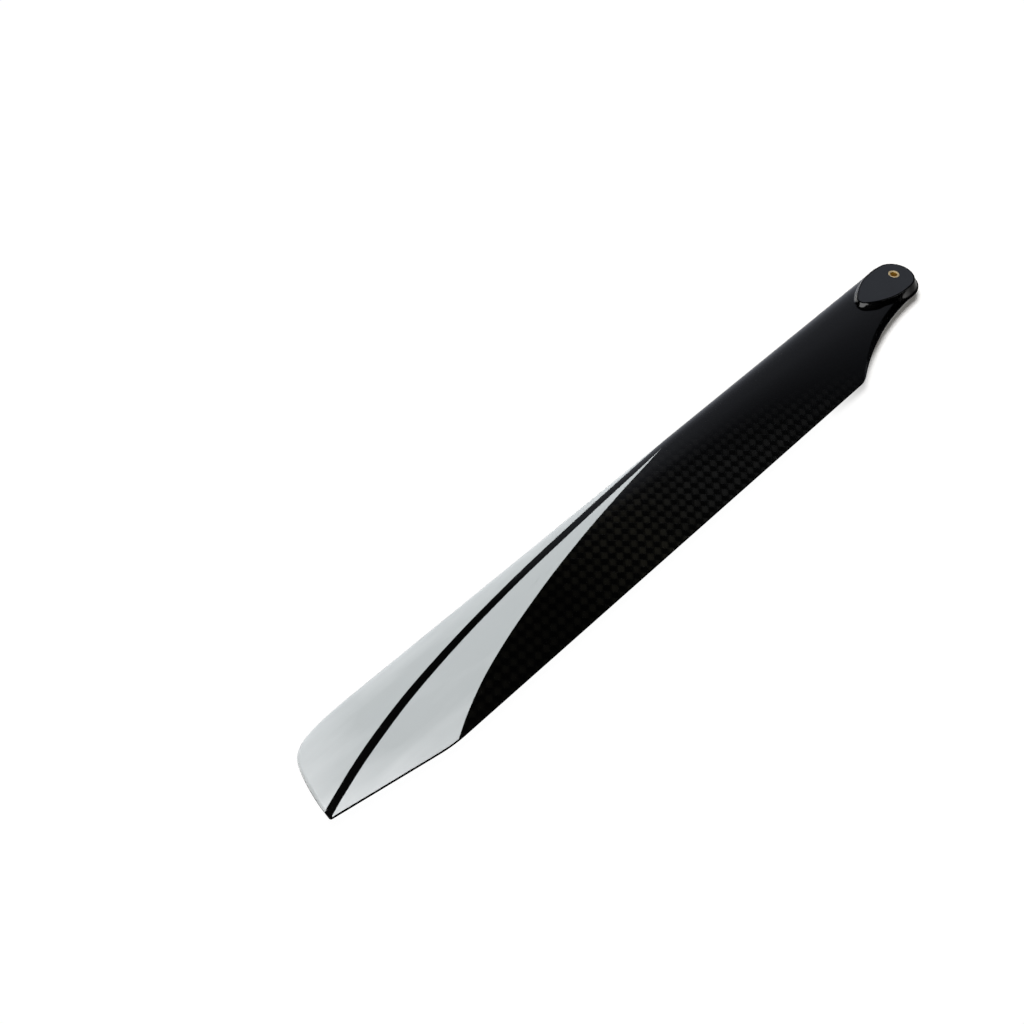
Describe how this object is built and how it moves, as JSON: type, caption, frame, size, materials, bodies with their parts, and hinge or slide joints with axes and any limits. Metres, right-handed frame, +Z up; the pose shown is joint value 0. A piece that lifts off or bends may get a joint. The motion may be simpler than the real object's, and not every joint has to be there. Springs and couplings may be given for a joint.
{
  "type": "helicopter rotor blade",
  "caption": "Slender carbon main rotor blade for a model helicopter: symmetric section, narrowing raked tip, cut-away root, and a raised bolt pad on each face around a brass bushing.",
  "frame": {"origin": "middle of the bolt bore, at half the blade's thickness", "axes": "+X out along the blade to the tip, +Z up along the bolt, leading edge toward -Y"},
  "size_m": [0.2527, 0.0267, 0.006],
  "materials": {
    "carbon": "clear-coated woven carbon, pale painted fields at the tip, satin bolt pads",
    "brass": "turned bright brass"
  },
  "bodies": {
    "root": {"blade": "carbon", "bushing": "brass"}
  },
  "joints": []
}
